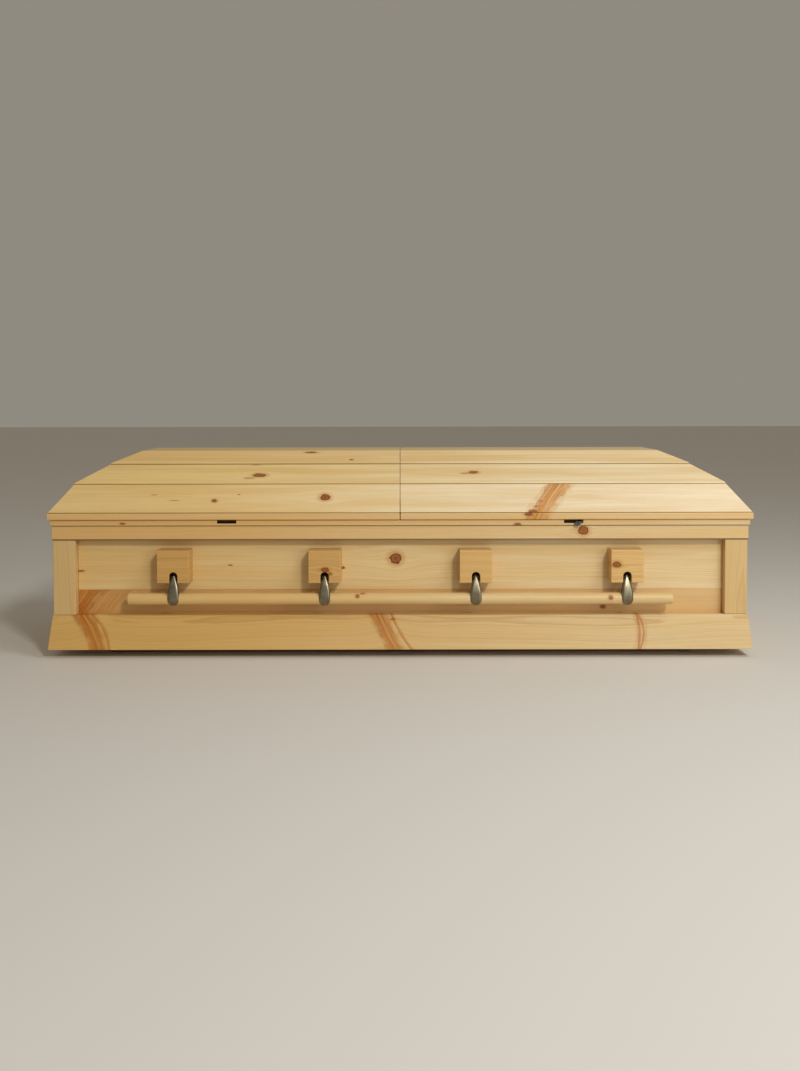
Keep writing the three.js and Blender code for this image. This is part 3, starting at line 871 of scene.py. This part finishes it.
def add_length(node, side, kind, cuts=(-1, 1)):
    """Makes a board of one side of a frame. `cuts` are its mitred ends: -1 its start, 1 its end."""
    piece = stock(node, f"{node}_{side}")
    out, along = OUT[side], ALONG[side]
    saw(piece, Vector(), out)
    for end in cuts:
        corner = (out + along * end) * rim_corner
        keep = (out - along * end).normalized()
        saw(piece, corner + keep * MITRE_GAP, keep)
    ease_edges(piece, FINE_EASE)
    finish_board(piece, node, side, wood_for(kind, side))


for node, kind in (("top_rail_frame", "rail"), ("cap_frame", "cap")):
    for side in SIDES:
        add_length(node, side, kind)

for hand, hip in (("left", -1), ("right", 1)):
    for side, cuts in (("front", (hip,)), (hand, (-1, 1)), ("back", (-hip,))):
        add_length(f"lid_{hand}_rim", side, f"rim_{hand}", cuts)
print(f"{len(finished)} boards so far")

# %% [markdown]
# ## The lid
#
# Each half has three courses of lapped planks, mitred at the hips, and a flat board on top. The foot of each
# plank stands a few millimetres proud of the one below it, and its eased lip draws the fine shadow lines
# that run across the lid. Painted shade along each plank's lower lip deepens them.

# %% Make the lid
for hand in ("left", "right"):
    for course in ("low", "middle", "upper"):
        for part, side in (("front", "front"), ("back", "back"), ("end", hand)):
            wood = wood_for(f"lid_{hand}_{course}", part)
            add_board(f"lid_{hand}_{course}_plank_{part}", side, wood, FINE_EASE)
    add_board(f"lid_{hand}_top_board", "front", plain_pine, FINE_EASE, out="up")
print(f"{len(finished)} boards so far")

# %% [markdown]
# ## Handle blocks
#
# A block of pine carries each arm in a slot with an arched top. A cube is added at the block's size, the
# lower half of a cylinder is drawn down past its foot, and a boolean carves that out. One block is modelled,
# and each other block is a copy of it.

# %% Model one handle block
ROUND_SIDES = 48
SLOT_RADIUS = 12.5 * MM
SLOT_TOP = 264 * MM
SLOT_DEPTH = 44 * MM
OVERSHOOT = 5 * MM
BLOCK_EASE = 2.2 * MM
BLOCK_ANGLE = math.radians(50)


def middle_of(node):
    low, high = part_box(node)
    return (low + high) / 2


block_low, block_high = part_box("handle_block_front_2")
block_middle = middle_of("handle_block_front_2")
slot_front = block_low.y - OVERSHOOT
slot_back = block_low.y + SLOT_DEPTH
arch_middle = Vector((block_middle.x, (slot_front + slot_back) / 2, SLOT_TOP - SLOT_RADIUS))
cutter = cylinder("slot_cutter", ROUND_SIDES, SLOT_RADIUS, slot_back - slot_front, arch_middle, TURNED_TO_Y)
for point in cutter.data.vertices:
    if point.co.z < arch_middle.z - WELD:
        point.co.x = block_middle.x + math.copysign(SLOT_RADIUS, point.co.x - block_middle.x)
        point.co.z = block_low.z - OVERSHOOT
with edit_mode(cutter, whole=True):
    bpy.ops.mesh.remove_doubles(threshold=WELD)
    bpy.ops.mesh.normals_make_consistent(inside=False)

block = cuboid("handle_block_front_2_wood", block_middle, block_high - block_low)
join_or_carve(block, cutter, "DIFFERENCE")
ease_edges(block, BLOCK_EASE, segments=ROUND_SEGMENTS, angle=BLOCK_ANGLE)
print(f"{block.name}: {len(block.data.polygons)} faces")

# %% [markdown]
# Four blocks on each side, half a turn apart. The second and the fourth on the front show knots, and the
# grain of the second arches over its slot.

# %% Copy the blocks
BLOCK_PINE = {"sapwood": ("C99A56", "DDB472"), "late_tone": "94601F"}
# Each block's slot darkens inwards with painted shade.
SLOT_PAINTED_SHADE = (13, 45, 2, 26)
FIGURED, PLAIN = 0.55, 0.35
BLOCKS = [
    {"grain": FIGURED, "pith": (150, 12), "amber": 0.2},
    {"grain": FIGURED, "pith": (38, 6), "amber": 0.2, "knots": [(2, 40, 12, 7, 1.0), (16, 28, 7, 5, 0.7)]},
    {"grain": PLAIN, "pith": (110, 30), "amber": 0.3},
    {"grain": PLAIN, "pith": (20, 40), "amber": 0.2, "knots": [(-33, 55, 13, 9, 1.0)]},
]
NUMBERS = range(1, len(BLOCKS) + 1)
block_woods = []
slots = [(middle_of(f"handle_block_front_{number}").x / MM, *SLOT_PAINTED_SHADE) for number in NUMBERS]
for number, look, slot in zip(NUMBERS, BLOCKS, slots):
    knots = [(slot[0] + along, *rest) for along, *rest in look.get("knots", ())]
    look = {**BLOCK_PINE, **look, "knots": knots, "pockets": [slot]}
    block_woods.append(pine(f"pine_block_{number}", **look))
block_back = pine("pine_block_back", **BLOCK_PINE, grain=PLAIN, spacing=4, pith=(90, 25), pockets=slots)


def copies_of(model, kind, name):
    """A copy of a handle piece for each place, turned half round for the back: (piece, side, number)."""
    places = []
    for face in ("front", "back"):
        for number in NUMBERS:
            piece = bpy.data.objects.new(f"{kind}_{face}_{number}_{name}", model.data.copy())
            bpy.context.collection.objects.link(piece)
            shift = middle_of(f"{kind}_front_{number}").x - middle_of(f"{kind}_front_2").x
            piece.data.transform(Matrix.Translation((shift, 0, 0)))
            if face == "back":
                piece.data.transform(Matrix.Rotation(math.pi, 4, "Z"))
            places.append((piece, face, number))
    bpy.data.objects.remove(model)
    return places


for piece, face, number in copies_of(block, "handle_block", "wood"):
    wood = block_woods[number - 1] if face == "front" else block_back
    finish_board(piece, f"handle_block_{face}_{number}", face, wood)
print(f"{len(finished)} boards so far")

# %% [markdown]
# ## Carrying bars
#
# A bar is a pine dowel, turned round, with its ends eased. A fine cylinder is enough: the bevel modifier
# rounds the two end edges. The lathe cut through the rings of its square blank, so they run out along it.

# %% Turn the bars
BAR_SIDES = 96
BAR_EASE = 2.5 * MM
BAR_TONES = ("DBB677", "DDC594")
bar_woods = {
    "front": pine("pine_bar", sapwood=BAR_TONES, grain=0.3, pith=(-10, 10),
                  knots=[(-129, 27, 6, 5, 0.8), (-114, 34, 7, 2, 0.6), (634, 22, 7, 6, 0.9)]),
    "back": pine("pine_bar_back", sapwood=BAR_TONES, grain=0.3, pith=(50, 10)),
}

for face, wood in bar_woods.items():
    low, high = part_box(f"carrying_bar_{face}")
    name = f"carrying_bar_{face}_wood"
    bar = cylinder(name, BAR_SIDES, (high.z - low.z) / 2, high.x - low.x, (low + high) / 2, TURNED_TO_X)
    ease_edges(bar, BAR_EASE, ROUND_SEGMENTS)
    measure(bar, OUT[face], ALONG[face], skin=high.y - low.y)
    finish_piece(bar, wood, f"{face}_handle", [f"carrying_bar_{face}"])
print(f"{len(finished)} boards so far")

# %% [markdown]
# ## Handle arms
#
# An arm is cast: a ring round the bar that is drawn up to a small head on a pivot pin. Seen from the front
# it is a long drop with a raised rim round a slightly hollow face. It starts as an upright blank, a cylinder
# with many rings, and the face is inset on the blank, where the mesh is still even. Each ring is then moved
# to its section: a rounded rectangle whose width follows the drop, and whose depth follows the side view.

# %% Sections of an arm
RING_RADIUS = 21.5 * MM
ARM_RISE = 71.5 * MM
ARM_HALF_WIDTH = 17.7 * MM
ARM_TAPER = 0.74
FOOT_TAPER = 0.68
HEAD_RADIUS = 5.5 * MM
PIVOT_RISE = ARM_RISE - HEAD_RADIUS
HOLLOW_START = 17 * MM
HOLLOW_END = 46 * MM
NECK_DEPTH = 5 * MM
SWELL = 1.1
HEAD_POWER = 2.6
RING_POWER = 7
POLE_SHARE = 0.02


def arc(radius, z):
    """Half a circle's width at the height z above its middle."""
    return math.sqrt(max(0, radius ** 2 - z ** 2))


def half_width(z):
    """The drop, seen from the front."""
    end, taper = (RING_RADIUS, FOOT_TAPER) if z < 0 else (ARM_RISE, ARM_TAPER)
    return ARM_HALF_WIDTH * max(0, 1 - (z / end) ** 2) ** taper


def outer_depth(z):
    """How far the arm stands out before the bar's middle at that height."""
    if z < 0:
        return arc(RING_RADIUS, z)
    if z < PIVOT_RISE:
        return HEAD_RADIUS + (RING_RADIUS - HEAD_RADIUS) * (1 - (z / PIVOT_RISE) ** 2) ** SWELL
    return arc(HEAD_RADIUS, z - PIVOT_RISE)


def inner_depth(z):
    """How far it reaches behind the bar's middle: round below, hollowed out above the ring."""
    if z < HOLLOW_START:
        return arc(RING_RADIUS, z)
    if z < PIVOT_RISE:
        share = max(0, 1 - (z - HOLLOW_START) / (HOLLOW_END - HOLLOW_START))
        return NECK_DEPTH + (arc(RING_RADIUS, HOLLOW_START) - NECK_DEPTH) * share ** 2
    return arc(HEAD_RADIUS, z - PIVOT_RISE)


def section_power(z):
    """How square a section is: round at the head, boxy at the ring, so that the bar's bore fits in."""
    share = max(0, min(1, z / PIVOT_RISE))
    return RING_POWER + (HEAD_POWER - RING_POWER) * share


def rounded(value, power):
    """Pushes a circle's sine or cosine outwards, towards a rounded square."""
    return math.copysign(abs(value) ** (2 / power), value)


def section_point(angle, level):
    """A point of the arm: `level` runs from 0 at its foot to 1 at its tip, crowded at both ends."""
    turn = POLE_SHARE + (1 - 2 * POLE_SHARE) * level
    share = (1 - math.cos(math.pi * turn)) / 2
    z = -RING_RADIUS + (ARM_RISE + RING_RADIUS) * share
    outer, inner = outer_depth(z), inner_depth(z)
    power = section_power(z)
    x = half_width(z) * rounded(math.cos(angle), power)
    y = (inner - outer) / 2 + (inner + outer) / 2 * rounded(math.sin(angle), power)
    return Vector((x, y, z))


print(f"an arm {2 * ARM_HALF_WIDTH / MM:.1f} mm wide and {(ARM_RISE + RING_RADIUS) / MM:.1f} mm high")

# %% Model one arm
ARM_SIDES = 48
ARM_RINGS = 30
BLANK_HEIGHT = 6
FACE_HALF_ANGLE = math.radians(58)
FACE_LEVELS = (0.07, 0.9)
RIM_WIDTH = 0.1
RIM_SLOPE = 0.06
HOLLOW_DEPTH = 0.9 * MM

arm = cylinder("handle_arm_model", ARM_SIDES, 1, BLANK_HEIGHT, (0, 0, BLANK_HEIGHT / 2))


def is_upright(edge):
    start, end = (arm.data.vertices[i].co.z for i in edge.vertices)
    return abs(start - end) > BLANK_HEIGHT / 2


def is_on_face(face):
    turned = math.acos(max(-1, min(1, -face.normal.y)))
    return turned < FACE_HALF_ANGLE and FACE_LEVELS[0] < face.center.z / BLANK_HEIGHT < FACE_LEVELS[1]


pick(arm, "EDGE", is_upright)
with edit_mode(arm):
    bpy.ops.mesh.subdivide(number_cuts=ARM_RINGS)
pick(arm, "FACE", is_on_face)
with edit_mode(arm):
    bpy.ops.mesh.inset(thickness=RIM_WIDTH, depth=0)
    bpy.ops.mesh.inset(thickness=RIM_SLOPE, depth=0)
print(f"{arm.name}: {len(arm.data.polygons)} faces in the blank")

# %% Draw the blank out to its sections
hollow = [0.0] * len(arm.data.vertices)
for face in arm.data.polygons:
    if face.select:
        for i in face.vertices:
            hollow[i] = 1.0
for point in arm.data.vertices:
    point.co = section_point(math.atan2(point.co.y, point.co.x), point.co.z / BLANK_HEIGHT)
    point.co.y += hollow[point.index] * HOLLOW_DEPTH
arm.data.attributes.new("hollow", "FLOAT", "POINT").data.foreach_set("value", hollow)
apply_modifier(arm, "SUBSURF", levels=1, render_levels=1)
print(f"{arm.name}: {len(arm.data.polygons)} faces")

# %% Bore the arm and set its pin
BORE_CLEARANCE = 0.3 * MM
BORE_LENGTH = 3 * ARM_HALF_WIDTH
PIN_SIDES = 24
PIN_RADIUS = 3 * MM
PIN_LENGTH = 40 * MM
PIN_PAINTED_SHADE = 5.0
CAST_ANGLE = math.radians(40)

bar_low, bar_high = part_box("carrying_bar_front")
bore_radius = (bar_high.z - bar_low.z) / 2 + BORE_CLEARANCE
bore = cylinder("bore", BAR_SIDES, bore_radius, BORE_LENGTH, (0, 0, 0), TURNED_TO_X)
join_or_carve(arm, bore, "DIFFERENCE")
pin = cylinder("pivot_pin", PIN_SIDES, PIN_RADIUS, PIN_LENGTH, (0, 0, PIVOT_RISE), TURNED_TO_X)
join_or_carve(arm, pin, "UNION")
shades = arm.data.attributes["hollow"].data
# The pin and the ring where it meets the head are marked for painted shade, dark as inside the block's slot.
for point in arm.data.vertices:
    from_pin = math.hypot(point.co.y, point.co.z - PIVOT_RISE)
    if abs(point.co.x) > WELD and abs(from_pin - PIN_RADIUS) < WELD:
        shades[point.index].value = PIN_PAINTED_SHADE
work_on(arm)
bpy.ops.object.shade_smooth_by_angle(angle=CAST_ANGLE)
bar_middle = (bar_low + bar_high) / 2
arm.data.transform(Matrix.Translation((middle_of("handle_arm_front_2").x, bar_middle.y, bar_middle.z)))
print(f"{arm.name}: {len(arm.data.polygons)} faces with its bore and pin")

# %% [markdown]
# ## Darkened nickel
#
# The arms are nickel that was blackened in a bath and brushed back: bright on the rim where the brush
# reached, dark olive in the hollow, with fine strokes up and down. The strokes lie in the roughness and the
# bump as well, because metal shows what it mirrors.

# %% Make the nickel
PIN_SHADE_BLACK = "191510"
STROKES, STROKE_EDGE, STROKE_TONE = (1500, 1500, 60), (0.4, 0.7), 0.25
SMUDGES, SMUDGE_EDGE, SMUDGE_TONE = (70, 70, 40), (0.35, 0.7), 0.3
SIDE_SHADE_EDGE, SIDE_SHADE_TONE, HOLLOW_TONE = (0.72, 0.98), 0.8, 0.85
SMOOTHEST, HOLLOW_ROUGH, STROKE_ROUGH = 0.24, 0.08, 0.12
STROKE_BUMP, STROKE_RELIEF = 0.3, 0.1 * MM


def cast_metal(name, bright, dark, stroke_and_side_shade):
    """Brushed metal that goes from `bright` to `dark` where it is hollow or smudged, with painted shade on
    the sides that face along the bar and a pin painted near black.
    """
    material, shader = new_material(name)
    coordinates = add_node("TexCoord").outputs
    recess = add_node("Attribute", attribute_name="hollow").outputs["Fac"]
    strokes = noise(coordinates["Object"], STROKES, detail=2)
    smudge = fade(noise(coordinates["Object"], SMUDGES, detail=3), *SMUDGE_EDGE)
    across = calc("ABSOLUTE", parts_of(coordinates["Normal"])[0])
    tint = stained(colour(bright), [
        (scaled(smudge, SMUDGE_TONE, times(recess, HOLLOW_TONE)), 1.0, dark),
        (fade(strokes, *STROKE_EDGE), STROKE_TONE, stroke_and_side_shade),
        # Painted shade: the sides that face along the bar are darkened, as if turned from the light.
        (fade(across, *SIDE_SHADE_EDGE), SIDE_SHADE_TONE, stroke_and_side_shade),
        # Painted shade: the pin is painted near black.
        (fade(recess, 1.0, PIN_PAINTED_SHADE), 1.0, PIN_SHADE_BLACK),
    ])
    feed(shader["Base Color"], tint)
    shader["Metallic"].default_value = 1.0
    feed(shader["Roughness"], scaled(strokes, STROKE_ROUGH, scaled(recess, HOLLOW_ROUGH, SMOOTHEST)))
    roughen(shader, STROKE_BUMP, STROKE_RELIEF, strokes)
    return material


antique_nickel = cast_metal("antique_nickel", "DAD6CE", "857B61", "3B3830")
dark_steel = cast_metal("dark_steel", "6E6A66", "3A3835", "2A2826")
for piece, face, number in copies_of(arm, "handle_arm", "cast"):
    finish_piece(piece, antique_nickel, f"{face}_handle", [f"handle_arm_{face}_{number}"])
print(f"{len(finished)} pieces so far")

# %% [markdown]
# ## The catch
#
# In the right-hand notch of the cap sits a small round steel catch with a bracket behind it. It is turned
# from a cylinder: the front face is inset and pushed in to leave a rim, and the edges are eased.

# %% Make the catch
CATCH_RIM = 2.2 * MM
CATCH_DISH = 1.2 * MM
CATCH_EASE = 0.6 * MM
BRACKET_SIZE = Vector((20, 5, 6)) * MM
BRACKET_SHIFT = Vector((6, 1.2, 4)) * MM

catch_low, catch_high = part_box("catch_button")
catch_middle = middle_of("catch_button")
catch_size = catch_high - catch_low
catch_radius = catch_size.z / 2
catch = cylinder("catch_button_steel", ROUND_SIDES, catch_radius, catch_size.y, catch_middle, TURNED_TO_Y)
pick(catch, "FACE", lambda face: face.normal.y < -0.9)
with edit_mode(catch):
    bpy.ops.mesh.inset(thickness=CATCH_RIM, depth=0)
    bpy.ops.mesh.inset(thickness=CATCH_DISH, depth=-CATCH_DISH)
join_or_carve(catch, cuboid("bracket", catch_middle + BRACKET_SHIFT, BRACKET_SIZE), "UNION")
ease_edges(catch, CATCH_EASE)
finish_piece(catch, dark_steel, "coffin", ["catch_button"])
print(f"{catch.name}: {len(catch.data.polygons)} faces")
